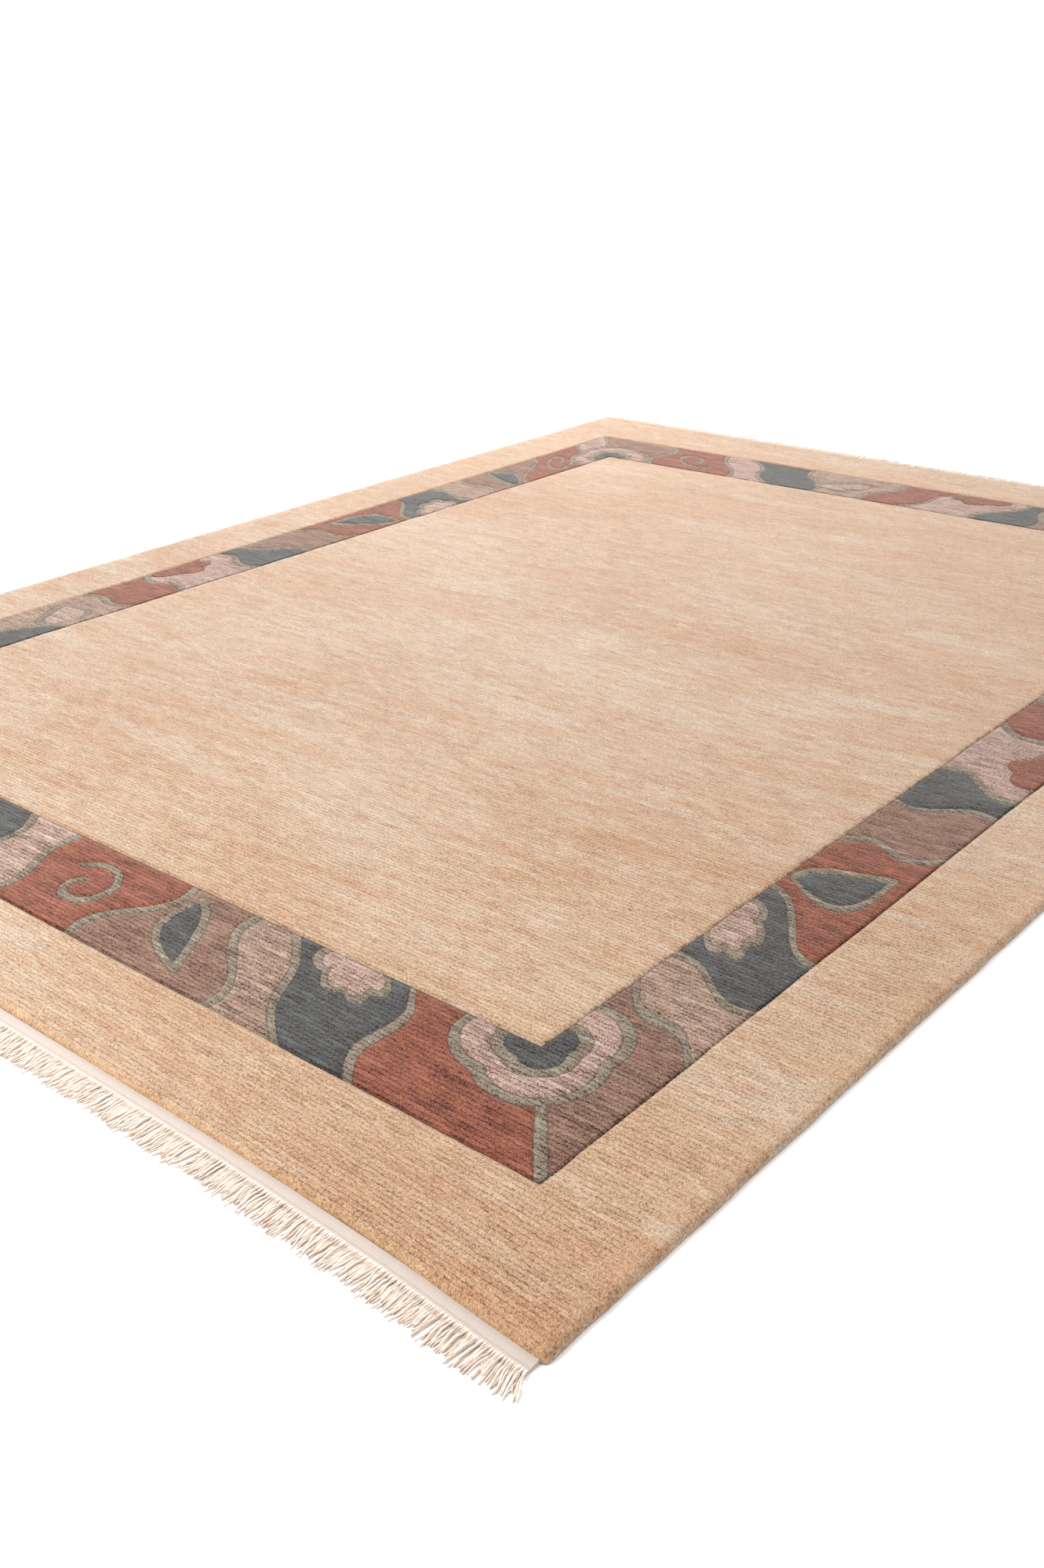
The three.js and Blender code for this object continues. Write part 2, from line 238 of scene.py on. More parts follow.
def fanDistance(along, across, size, turn, width):
    out = turn * across + width / 2
    angle = np.arctan2(out, along)
    reach = size[0] * (0.8 + 0.2 * np.abs(np.sin(size[1] * angle)))
    return (np.hypot(along, out) - reach) * 0.85


def scrollDistance(along, across, size, turn):
    radius, angle = np.hypot(along, across), np.arctan2(across, along)
    nearest = np.full(along.shape, 99.0)
    for lap in range(-1, 3):
        share = ((angle - math.radians(turn)) / (2 * np.pi) + lap) / size[1]
        away = np.abs(radius - size[0] * (1 - 0.8 * share))
        nearest = np.minimum(nearest, np.where((share >= 0) & (share <= 1), away, 99))
    return nearest


# Which wool is where on the border, and how far the nearest carved lines are
def borderPattern(x, y):
    names = list(wools)
    ground, tint = np.zeros(x.shape, int), np.zeros(x.shape, int)
    line, figure = np.full(x.shape, 99.0), np.full(x.shape, 99.0)
    best = np.full(x.shape, -1e9)
    for k in range(4):
        i0, i1, o0, o1 = inner[k], inner[(k + 1) % 4], outer[k], outer[(k + 1) % 4]
        middle = [sum(p[n] for p in (i0, i1, o0, o1)) / 4 for n in (0, 1)]
        fromInner, fromOuter, fromStart, fromEnd = (
            lineDistance(x, y, a, b) * math.copysign(1, lineDistance(*middle, a, b))
            for a, b in ((i0, i1), (o0, o1), (i0, o0), (i1, o1)))
        here = np.minimum(fromStart, fromEnd) > best
        best = np.maximum(best, np.minimum(fromStart, fromEnd))
        across = fromInner / (fromInner + fromOuter)
        length = math.dist([(i0[n] + o0[n]) / 2 for n in (0, 1)], [(i1[n] + o1[n]) / 2 for n in (0, 1)])
        width = math.dist([(i0[n] + i1[n]) / 2 for n in (0, 1)], [(o0[n] + o1[n]) / 2 for n in (0, 1)])
        along = fromStart / (fromStart + fromEnd) * length
        stretch = (math.dist(i0, i1) * (1 - across) + math.dist(o0, o1) * across) / length
        first, count = border["sidePatches"][k]
        rows = [patches[(first + i) % len(patches)] for i in range(count)]
        fit = length / sum(row["span"] for row in rows)
        wool = np.full(x.shape, names.index(rows[0]["wool"]))
        outlined = np.minimum(np.abs(fromStart), np.abs(fromEnd))     # the mitres
        inFigure, figureWool = np.full(x.shape, 99.0), np.zeros(x.shape, int)
        travelled = 0
        for i, row in enumerate(rows):
            centre = travelled + row["span"] * fit / 2
            travelled += row["span"] * fit
            if i < count - 1:
                end = travelled + row["lean"] * (across - 0.5) + row["sway"] * np.sin(2 * np.pi * across)
                slope = (row["lean"] + 2 * np.pi * row["sway"] * np.cos(2 * np.pi * across)) / width
                outlined = np.minimum(outlined, np.abs(along - end) * stretch / np.sqrt(1 + slope**2))
                wool = np.where(along > end, names.index(rows[i + 1]["wool"]), wool)
            if "figure" not in row or i in (0, count - 1):
                continue
            a, c = along - centre, (across - 0.5) * width
            if row["figure"] == "scroll":
                outlined = np.minimum(outlined, scrollDistance(a, c, row["size"], row["turn"]))
                continue
            if row["figure"] == "leaf":
                side = leafDistance(a, c, row["size"], row["turn"])
            else:
                side = fanDistance(a, c, row["size"], row["turn"], width)
            figureWool = np.where(side < inFigure, names.index(row["tint"]), figureWool)
            inFigure = np.minimum(inFigure, side)
            if row["figure"] == "leaf" or row["turn"] > 0:
                outlined = np.minimum(outlined, np.abs(side))
        for start, stop in ((i0, o0), (i1, o1)):
            reach = math.dist(start, stop)
            dx, dy = (stop[0] - start[0]) / reach, (stop[1] - start[1]) / reach
            l, q = (x - start[0]) * dx + (y - start[1]) * dy, (y - start[1]) * dx - (x - start[0]) * dy
            lobed = border["cornerReach"] * (0.78 + 0.22 * np.abs(np.cos(1.5 * np.arctan2(q, l))))
            ring, core = (np.hypot(l, q) - lobed) * 0.85, (np.hypot(l, q) - lobed / 2) * 0.85
            outlined = np.where(ring < 0, np.minimum(-ring, np.abs(core)), np.minimum(outlined, ring))
            wool = np.where(ring < 0, names.index("rose"), wool)
            figureWool = np.where(ring < 20, names.index("slate"), figureWool)
            inFigure = np.where(ring < 20, core, inFigure)
        ground, tint = np.where(here, wool, ground), np.where(here, figureWool, tint)
        line, figure = np.where(here, outlined, line), np.where(here, inFigure, figure)
    halfLine = border["outline"] + border["outlineVaries"] * handNoise(x, y, 70, 70, 5)
    dyes = np.array([sRGB(wools[name]) for name in names])
    return {"ground": dyes[ground], "tint": dyes[tint], "line": line - halfLine, "figure": figure}


# Relief of the pile, in millimetres
relief = {
    "ridge": 0.24,              # half the height from the gap between two ridges to a ridge's top
    "edgeCut": (3.0, 1.7),      # half width and depth of the cut along the border's edges
    "figureCut": (3.0, 1.5),
    "hand": 0.35,               # soft unevenness of the clipped face
    "tuft": 0.22,               # one tuft against the next
    "drift": 0.9,               # how far a row strays from its line
    "roll": (15, 1.3),          # the face rolls off this far from the rim, by this much
}


def vee(distance, cut):
    return cut[1] * np.clip(1 - np.abs(distance) / cut[0], 0, 1)


def rimDistance(x, y):
    fromSides = [rowLines[5](x) - y, y - rowLines[0](x), columnLines[5](y) - x, x - columnLines[0](y)]
    return np.min(fromSides, axis=0)


def pileHeight(x, y, row, pattern=None):
    rim = rimDistance(x, y)
    crest = np.where(np.round(row) % 2 == 0, 1.0, -1.0)
    swell = 0.5 + 0.45 * handNoise(x, y, 22, 6.1, 1) + 0.35 * handNoise(x, y, 8, 3.1, 2)
    z = rug["thickness"] + crest * relief["ridge"] * swell * np.clip(rim / 14, 0, 1)
    z = z + relief["hand"] * handNoise(x, y, 90, 60, 3) + relief["tuft"] * handNoise(x, y, 3.3, 2.9, 4)
    z = z - relief["roll"][1] * np.clip(1 - rim / relief["roll"][0], 0, 1) ** 2
    toEdge = np.minimum(ringDistance(x, y, outer), ringDistance(x, y, inner))
    cut = vee(toEdge, relief["edgeCut"])
    if pattern is not None:
        cut = np.maximum(cut, vee(pattern["line"], relief["figureCut"]))
        cut = np.maximum(cut, np.where(pattern["line"] > 0, vee(pattern["figure"], relief["figureCut"]), 0))
    return z - cut


def strayed(x, y):
    line = np.minimum(ringDistance(x, y, outer), ringDistance(x, y, inner))
    loose = np.clip(rimDistance(x, y) / 14, 0.1, 1) * np.clip(line / 5, 0.1, 1)      # straight at rim and cuts
    return (x + 0.8 * handNoise(x, y, 45, 34, 7) + 0.6 * loose * handNoise(x, y, 3.6, 3.6, 8),
            y + relief["drift"] * handNoise(x, y, 110, 28, 9) + 0.5 * loose * handNoise(x, y, 7, 3.6, 10))


# Shares for one stretch of columns: even, with one set close to each end so that the carved edge stays narrow
def columnShares(start, stop, count, width, cutEnds=(True, True)):
    shares = list(np.linspace(0, 1, count + 1))
    near = 3.3 / width
    rim = [0, 2.6 / width, 5.6 / width, 9.5 / width]
    if width / count > 5:
        first = [0, near] if cutEnds[0] else rim
        last = [1 - near, 1] if cutEnds[1] else [1 - r for r in reversed(rim)]
        shares = first + [s for s in shares if first[-1] + near < s < last[0] - near] + last
    return [start + (stop - start) * s for s in shares]


def joinColumns(*stretches):
    joined = list(stretches[0])
    for stretch in stretches[1:]:
        joined += stretch[1:]
    return np.array(joined)


def rowShares(first, last):
    return np.interp(np.arange(first, last + 1), rowStops, range(6))


def selectedVertices(mesh):
    flags = np.zeros(len(mesh.vertices), bool)
    mesh.vertices.foreach_get("select", flags)
    return np.nonzero(flags)[0]


def vertexPlaces(mesh):
    places = np.zeros(len(mesh.vertices) * 3, np.float32)
    mesh.vertices.foreach_get("co", places)
    return places.reshape(-1, 3).astype(float)


def storeAttribute(mesh, name, kind, values):
    layer = mesh.attributes.get(name) or mesh.attributes.new(name, kind, "POINT")
    field = {"FLOAT": "value", "FLOAT_VECTOR": "vector", "FLOAT_COLOR": "color"}[kind]
    layer.data.foreach_set(field, np.asarray(values, np.float32).ravel())


def packedPlace(x, y, z):
    return np.stack([x - rug["middle"][0], y - rug["middle"][1], z], axis=1) * mm


# One region of the pile's face: a grid laid on the rug, then relief
def layPile(name, columns, firstRow, lastRow, patterned=False):
    rows = rowShares(firstRow, lastRow)
    bpy.ops.mesh.primitive_grid_add(x_subdivisions=len(columns) - 1, y_subdivisions=len(rows) - 1,
                                    size=1, location=(0, 0, rug["thickness"] * mm))
    piece = bpy.context.object
    piece.name = piece.data.name = name
    bpy.ops.object.transform_apply(location=True, rotation=True, scale=True)
    u, v = np.tile(columns, len(rows)), np.repeat(rows, len(columns))
    row = np.repeat(np.arange(firstRow, lastRow + 1), len(columns))
    x, y = placeOnRug(u, v)
    pattern = borderPattern(x, y) if patterned else None
    z = pileHeight(x, y, row, pattern)
    knot = x / rug["knotPitch"]
    x, y = strayed(x, y)
    piece.data.vertices.foreach_set("co", packedPlace(x, y, z).astype(np.float32).ravel())
    storeAttribute(piece.data, "knotPlace", "FLOAT_VECTOR", np.stack([knot, row, 0 * knot], axis=1))
    storeAttribute(piece.data, "wall", "FLOAT", np.zeros(len(x)))
    storeAttribute(piece.data, "inward", "FLOAT", np.minimum(columnLines[5](y) - x, x - columnLines[0](y)))
    fromCut = np.minimum(ringDistance(x, y, outer), ringDistance(x, y, inner))
    storeAttribute(piece.data, "fromCut", "FLOAT", fromCut)
    storeAttribute(piece.data, "share", "FLOAT_VECTOR", np.stack([u, v, 0 * u], axis=1))
    if patterned:
        storeAttribute(piece.data, "groundWool", "FLOAT_COLOR", pattern["ground"])
        storeAttribute(piece.data, "figureWool", "FLOAT_COLOR", pattern["tint"])
        storeAttribute(piece.data, "lineSide", "FLOAT", pattern["line"])
        storeAttribute(piece.data, "figureSide", "FLOAT", pattern["figure"])
    piece.data.update()
    return piece


# Walls from the open edges of the piece just made down to the floor, and a plain back
def closeBelow():
    bpy.ops.object.mode_set(mode="EDIT")
    bpy.ops.mesh.select_mode(type="EDGE")
    bpy.ops.mesh.select_all(action="DESELECT")
    bpy.ops.mesh.select_non_manifold()
    bpy.ops.mesh.extrude_edges_move()
    bpy.ops.transform.resize(value=(1, 1, 0), center_override=(0, 0, 0))
    bpy.ops.mesh.fill()
    bpy.ops.mesh.select_all(action="SELECT")
    bpy.ops.mesh.normals_make_consistent(inside=False)
    bpy.ops.object.mode_set(mode="OBJECT")


def finishPiece(piece, body, material, replaced):
    bpy.ops.object.select_all(action="DESELECT")
    piece.select_set(True)
    bpy.context.view_layer.objects.active = piece
    bpy.ops.object.shade_smooth_by_angle(angle=math.radians(rug["smoothAngle"]))
    piece.data.materials.append(material)
    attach(piece, body)
    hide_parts(replaced)
    print(piece.name, len(piece.data.vertices), "vertices")


# The patterns of the pile: what each follows, how many fit in a knot and a row or in a metre, detail, roughness
pilePatterns = {
    "bend": ("knots", (0.2, 0.35, 1), 1.0, 0.5),            # the rows bend every few knots
    "jitter": ("knots", (0.8, 0.7, 1), 1.0, 0.5),
    "streak": ("knots", (0.025, 0.24, 1), 3.0, 0.6),        # a few rows alike, for 100 mm or so
    "dash": ("knots", (0.2, 0.95, 1), 2.0, 0.6),            # a few knots of one row alike
    "tuft": ("knots", (0.95, 1.0, 1), 1.0, 0.5),            # single knots
    "tips": ("knots", (2.2, 2.2, 2.2), 2.0, 0.7),           # the two or three yarn ends in a knot
    "nap": ("leant", (880, 360, 400), 2.0, 0.6),            # tips all lean one way
    "abrash": ("knots", (0.008, 0.09, 1), 3.0, 0.55),       # long bands, 35 mm wide
    "clouds": ("metres", (1.54, 2.86, 2.2), 3.0, 0.5),      # traffic over half a metre
    "fibre": ("metres", (900, 900, 900), 2.0, 0.7),         # 1 mm fibre ends, drawn coarser than wool is
    "blush": ("knots", (0.04, 0.2, 1), 3.0, 0.7),
    # pale patches along the rows: partly wear, partly painted sheen where the pile lies another way
    "wearAndSheen": ("metres", (2.79, 11.16, 3.1), 4.0, 0.65),
    "patchy": ("metres", (24, 24, 24), 3.0, 0.6),           # how high the last row's colour reaches
    "ragged": ("knots", (0.9, 0.9, 1), 1.0, 0.5),           # where two wools meet
}

# Patterns that run along one ridge or gap: shift from gap to ridge, how many in a knot, seed apart, detail
rowPatterns = {
    "broken": (0.0, 0.2, 3.71, 3.0),        # the gap between two ridges opens and closes every 16 mm
    "yarn": (0.5, 0.07, 5.37, 4.0),         # one ridge's tone changes every 45 mm and less
}

# How each wool takes the light. Under "tone" is how much each pattern lightens or darkens it.
woolLooks = {
    "sandWoolPile": {
        "tone": {"yarn": 0.5, "streak": 0.15, "clouds": 0.2, "dash": 0.5, "tuft": 0.8, "tips": 1.15,
                 "nap": 1.15, "fibre": 0.6},
        "gapShade": 0.28,
        "gapDepth": 0.3,
        "besideCut": 0.85,          # shade right beside a carved edge
        "bloom": 0.6,
        "sheenTint": (0.97, 0.97, 0.95, 1),
        "deepShade": "#847469",     # from the bottom of the pile to its tips
        "middleShade": "#d4d0cd",
    },
    "dyedWoolPile": {
        "tone": {"yarn": 0.9, "streak": 0.3, "tuft": 0.55, "tips": 0.9, "nap": 1.25, "fibre": 0.6},
        "gapShade": 0.36,
        "gapDepth": 0.1,
        "besideCut": 0.45,
        "bloom": 0.4,
        "sheenTint": (1.0, 0.95, 0.88, 1),
        "contrast": (2.3, -0.17),
        # the colour of the painted shade in the carved grooves, and how far it reaches from a line
        "carved": "#302b27",
        "grooveShadeHalfWidth": 1.5,
    },
}

# Where the sand wool is cream and not golden: the share to start from, and what each pattern adds
sandDye = {
    "start": 0.42,
    "spread": {"yarn": 1.7, "streak": 0.9, "abrash": 1.7, "clouds": 1.7},
    "towardsRim": 0.65,             # the patterns weaken to this share near the rug's rim
    # how far the pale patches of wear and painted sheen push the wool to cream
    "wearAndSheen": 0.9,
    "trodden": 0.35,
}


# Adds each pattern, centred on nought, in its own amount
def blended(tree, start, patterns, amounts):
    total = start
    for pattern, amount in amounts.items():
        centred = addNode(tree, "Math", {0: patterns[pattern], 1: 0.5}, operation="SUBTRACT")
        total = addNode(tree, "Math", {0: centred, 1: amount, 2: total}, operation="MULTIPLY_ADD")
    return total


# Hand-knotted wool pile, cut and washed: matt, with a soft bloom at a low angle from the fibre tips, rows of
# tufts about 3 mm apart that pair into ridges, and yarn whose tone changes in dashes along each row.
def woolPile(name, patterned):
    look = woolLooks[name]
    material = bpy.data.materials.new(name)
    material.use_nodes = True
    tree = material.node_tree
    tree.nodes.clear()
    knots = addNode(tree, "Attribute", out="Vector", attribute_name="knotPlace")
    knot = addNode(tree, "SeparateXYZ", {0: knots}, out="X")
    row = addNode(tree, "SeparateXYZ", {0: knots}, out="Y")
    solid = addNode(tree, "TexCoord", out="Object")
    leant = addNode(tree, "VectorRotate", {"Vector": solid, "Angle": math.radians(-32)}, rotation_type="Z_AXIS")
    sources = {"knots": knots, "metres": solid, "leant": leant}
    patterns = {}
    for pattern, (source, scale, detail, roughness) in pilePatterns.items():
        moved = addNode(tree, "Mapping", {"Vector": sources[source], "Scale": scale})
        patterns[pattern] = addNode(tree, "TexNoise", {"Vector": moved, "Scale": 1.0, "Detail": detail,
                                                       "Roughness": roughness})
    wander = blended(tree, row, patterns, {"bend": 0.9, "jitter": 0.8})
    for pattern, (shift, perKnot, seedApart, detail) in rowPatterns.items():
        pair = addNode(tree, "Math", {0: wander, 1: 0.5, 2: shift}, operation="MULTIPLY_ADD")
        pair = addNode(tree, "Math", {0: pair}, operation="FLOOR")
        along = addNode(tree, "Math", {0: knot, 1: perKnot}, operation="MULTIPLY")
        across = addNode(tree, "Math", {0: pair, 1: seedApart}, operation="MULTIPLY")
        moved = addNode(tree, "CombineXYZ", {0: along, 1: across})
        patterns[pattern] = addNode(tree, "TexNoise", {"Vector": moved, "Scale": 1.0, "Detail": detail,
                                                       "Roughness": 0.6})

    # The valleys between ridges, the gaps that open in them, and the single rows
    inward = addNode(tree, "Attribute", out="Fac", attribute_name="inward")
    fade = addNode(tree, "MapRange", {0: inward, 1: 4.0, 2: 36.0, 3: 0.1, 4: 1.0})
    ridge = addNode(tree, "Math", {0: wander, 1: 1.0}, operation="PINGPONG")
    valley = addNode(tree, "Math", {0: ridge, 1: 3.0}, operation="POWER")
    valley = addNode(tree, "Math", {0: valley, 1: fade}, operation="MULTIPLY")
    parted = addNode(tree, "Math", {0: patterns["broken"], 1: 2.6, 2: -0.75}, operation="MULTIPLY_ADD",
                     use_clamp=True)
    gap = addNode(tree, "Math", {0: valley, 1: parted}, operation="MULTIPLY")
    everyRow = addNode(tree, "Math", {0: wander, 1: 0.5}, operation="ADD")
    everyRow = addNode(tree, "Math", {0: everyRow, 1: 0.5}, operation="PINGPONG")
    everyRow = addNode(tree, "Math", {0: everyRow, 1: 2.0}, operation="MULTIPLY")
    everyRow = addNode(tree, "Math", {0: everyRow, 1: 2.0}, operation="POWER")

    # How far the light gets into the pile: dark between the tips and in the gaps, bright on the tips
    tone = 0.61
    for part, depth in ((valley, 0.1), (gap, look["gapShade"]), (everyRow, 0.1)):
        tone = addNode(tree, "Math", {0: part, 1: -depth, 2: tone}, operation="MULTIPLY_ADD")
    tone = blended(tree, tone, patterns, look["tone"])
    tone = addNode(tree, "Math", {0: tone, 1: 0.0}, operation="MAXIMUM")
    tone = addNode(tree, "Math", {0: tone, 1: 1.0}, operation="MINIMUM")

    if patterned:
        ground = addNode(tree, "Attribute", out="Color", attribute_name="groundWool")
        tint = addNode(tree, "Attribute", out="Color", attribute_name="figureWool")
        line = addNode(tree, "Attribute", out="Fac", attribute_name="lineSide")
        side = addNode(tree, "Attribute", out="Fac", attribute_name="figureSide")
        ragged = blended(tree, 0.0, patterns, {"ragged": 2.6})
        line = addNode(tree, "Math", {0: line, 1: ragged}, operation="ADD")
        side = addNode(tree, "Math", {0: side, 1: ragged}, operation="ADD")
        inFigure = addNode(tree, "Math", {0: side, 1: 0.0}, operation="LESS_THAN")
        inLine = addNode(tree, "Math", {0: line, 1: 0.0}, operation="LESS_THAN")
        colour = addNode(tree, "Mix", {0: inFigure, 6: ground, 7: tint}, **colours)
        colour = addNode(tree, "Mix", {0: inLine, 6: colour, 7: sRGB(wools["sage"])}, **colours)
        contrast, shift = look["contrast"]
        shade = addNode(tree, "Math", {0: tone, 1: contrast, 2: shift}, operation="MULTIPLY_ADD")
        paler = blended(tree, 1.0, patterns, {"yarn": 0.5})      # uneven dye: lighter is also greyer
        greyer = addNode(tree, "Math", {0: paler, 1: 1.3}, operation="POWER")
        green = addNode(tree, "Math", {0: shade, 1: paler}, operation="MULTIPLY")
        blue = addNode(tree, "Math", {0: shade, 1: greyer}, operation="MULTIPLY")
        heather = addNode(tree, "CombineColor", {0: shade, 1: green, 2: blue})
        colour = addNode(tree, "Mix", {0: 1.0, 6: colour, 7: heather}, **colours, blend_type="MULTIPLY")
        # Painted shade in the carved grooves along each outline and figure edge, darkest at the line
        hidden = addNode(tree, "Math", {0: inLine, 1: 99.0}, operation="MULTIPLY")      # edges under an outline
        toLine = addNode(tree, "Math", {0: line}, operation="ABSOLUTE")
        toSide = addNode(tree, "Math", {0: side}, operation="ABSOLUTE")
        toSide = addNode(tree, "Math", {0: toSide, 1: hidden}, operation="ADD")
        cut = addNode(tree, "Math", {0: toLine, 1: toSide}, operation="MINIMUM")
        cut = addNode(tree, "Math", {0: cut, 1: look["grooveShadeHalfWidth"]}, operation="DIVIDE")
        cut = addNode(tree, "Math", {0: 1.0, 1: cut}, operation="SUBTRACT", use_clamp=True)
        cut = addNode(tree, "Math", {0: cut, 1: 0.6}, operation="MULTIPLY")
        colour = addNode(tree, "Mix", {0: cut, 6: colour, 7: sRGB(look["carved"])}, **colours)
    else:
        middle = addNode(tree, "Mapping", {"Vector": solid, "Location": (0.2, 0.45, 0)})
        outward = addNode(tree, "VectorMath", {0: middle}, out="Value", operation="LENGTH")
        trodden = addNode(tree, "MapRange", {0: outward, 1: 0.2, 2: 1.2, 3: sandDye["trodden"], 4: 0.0})
        mottled = addNode(tree, "MapRange", {0: outward, 1: 0.8, 2: 1.2, 3: 1.0, 4: sandDye["towardsRim"]})
        dye = blended(tree, 0.0, patterns, sandDye["spread"])
        dye = addNode(tree, "Math", {0: dye, 1: mottled, 2: sandDye["start"]}, operation="MULTIPLY_ADD")
        # Pale patches along the rows, partly worn tips and partly painted sheen where the pile lies another
        # way: more cream, and a little whiter
        wearAndSheen = addNode(tree, "Math", {0: patterns["wearAndSheen"], 1: 3.4, 2: -1.85}, operation="MULTIPLY_ADD",
                       use_clamp=True)
        dye = addNode(tree, "Math", {0: wearAndSheen, 1: sandDye["wearAndSheen"], 2: dye}, operation="MULTIPLY_ADD")
        dye = addNode(tree, "Math", {0: trodden, 1: dye}, operation="ADD", use_clamp=True)
        golden, cream = sRGB(sandWool["golden"]), sRGB(sandWool["cream"])
        colour = addNode(tree, "Mix", {0: dye, 6: golden, 7: cream}, **colours)
        wearAndSheen = addNode(tree, "Math", {0: wearAndSheen, 1: 0.35}, operation="MULTIPLY")
        colour = addNode(tree, "Mix", {0: wearAndSheen, 6: colour, 7: sRGB(sandWool["wearAndSheen"])}, **colours)
        blush = addNode(tree, "Math", {0: patterns["blush"], 1: 2.6, 2: -1.2}, operation="MULTIPLY_ADD",
                        use_clamp=True)
        blush = addNode(tree, "Math", {0: blush, 1: 0.3}, operation="MULTIPLY")
        colour = addNode(tree, "Mix", {0: blush, 6: colour, 7: sRGB(sandWool["blush"])}, **colours,
                         blend_type="SOFT_LIGHT")
        depth = addNode(tree, "ValToRGB", {"Fac": tone})
        stops = depth.node.color_ramp.elements
        stops[0].position, stops[0].color = 0.05, sRGB(look["deepShade"])
        stops[1].position, stops[1].color = 0.98, (1.0, 1.0, 1.0, 1)
        stops.new(0.52).color = sRGB(look["middleShade"])
        colour = addNode(tree, "Mix", {0: 1.0, 6: colour, 7: depth}, **colours, blend_type="MULTIPLY")

        # The last row over each flat-woven end, and the shade at the foot of the long sides
        wall = addNode(tree, "Attribute", out="Fac", attribute_name="wall")
        low = addNode(tree, "SeparateXYZ", {0: solid}, out="Z")
        reach = addNode(tree, "Math", {0: patterns["patchy"], 1: -0.007, 2: low}, operation="MULTIPLY_ADD")
        reach = addNode(tree, "MapRange", {0: reach, 1: 0.0048, 2: 0.0085, 3: 0.8, 4: 0.0})
        reach = addNode(tree, "Math", {0: wall, 1: reach}, operation="MULTIPLY")
        lastRow = addNode(tree, "Mix", {0: 1.0, 6: sRGB(sandWool["endRow"]), 7: depth}, **colours,
                          blend_type="MULTIPLY")
        colour = addNode(tree, "Mix", {0: reach, 6: colour, 7: lastRow}, **colours)
        foot = addNode(tree, "MapRange", {0: low, 1: 0.0006, 2: 0.0024, 3: 0.6, 4: 0.0})
        onSide = addNode(tree, "Math", {0: 1.0, 1: wall}, operation="SUBTRACT")
        foot = addNode(tree, "Math", {0: foot, 1: onSide}, operation="MULTIPLY")
        colour = addNode(tree, "Mix", {0: foot, 6: colour, 7: sRGB(sandWool["foot"])}, **colours)

    # Beside a carved edge the pile is shaded and has no bloom
    fromCut = addNode(tree, "Attribute", out="Fac", attribute_name="fromCut")
    openness = addNode(tree, "MapRange", {0: fromCut, 1: 0.3, 2: 3.6, 3: 0.0, 4: 1.0})
    within = addNode(tree, "MapRange", {0: openness, 3: look["besideCut"], 4: 1.0})
    within = addNode(tree, "CombineColor", {0: within, 1: within, 2: within})
    colour = addNode(tree, "Mix", {0: 1.0, 6: colour, 7: within}, **colours, blend_type="MULTIPLY")
    bloom = addNode(tree, "Math", {0: openness, 1: look["bloom"]}, operation="MULTIPLY")
    height = 0.0
    for part, amount in ((patterns["nap"], 0.6), (patterns["tuft"], 1.0), (patterns["tips"], 0.7),
                         (valley, -0.15), (gap, -look["gapDepth"])):
        height = addNode(tree, "Math", {0: part, 1: amount, 2: height}, operation="MULTIPLY_ADD")
    bump = addNode(tree, "Bump", {"Height": height, "Strength": 0.7, "Distance": 0.0012})
    shader = addNode(tree, "BsdfPrincipled", {
        "Base Color": colour, "Roughness": 0.95, "IOR": 1.45, "Specular IOR Level": 0.15, "Sheen Weight": bloom,
        "Sheen Roughness": 0.3, "Sheen Tint": look["sheenTint"], "Normal": bump})
    addNode(tree, "OutputMaterial", {"Surface": shader})
    return material


sandPile = woolPile("sandWoolPile", False)
dyedPile = woolPile("dyedWoolPile", True)

# The pile, in the regions that the carving parts. Each sheet's flat size is in metres, from the border's lines.
fieldColumns = columnShares(2, 3, 143, 1435)
leftBand, rightBand = columnShares(1, 2, 40, 130), columnShares(3, 4, 40, 130)
bandColumns = joinColumns(leftBand, columnShares(2, 3, 429, 1435), rightBand)

field = layPile("pileField", np.array(fieldColumns), rowStops[2], rowStops[3])
closeBelow()
finishPiece(field, "root", sandPile, "pile_rug")
for name, columns, first, last in (
        ("borderNear", bandColumns, rowStops[1], rowStops[2]),
        ("borderRight", np.array(rightBand), rowStops[2], rowStops[3]),
        ("borderFar", bandColumns, rowStops[3], rowStops[4]),
        ("borderLeft", np.array(leftBand), rowStops[2], rowStops[3])):
    piece = layPile(name, columns, first, last, patterned=True)
    closeBelow()
    finishPiece(piece, "root", dyedPile, "pile_rug")

# The guard: the plain band between the border and the rug's edge, a grid with its middle taken out
guardColumns = joinColumns(
    columnShares(0, 1, 19, 130, (False, True)), columnShares(1, 2, 16, 130), columnShares(2, 3, 190, 1435),
    columnShares(3, 4, 16, 130), columnShares(4, 5, 19, 130, (True, False)))
guard = layPile("pileGuard", guardColumns, rowStops[0], rowStops[5])


def sharesOf(mesh):
    shares = np.zeros(len(mesh.vertices) * 3, np.float32)
    mesh.attributes["share"].data.foreach_get("vector", shares)
    return shares.reshape(-1, 3)[:, :2]


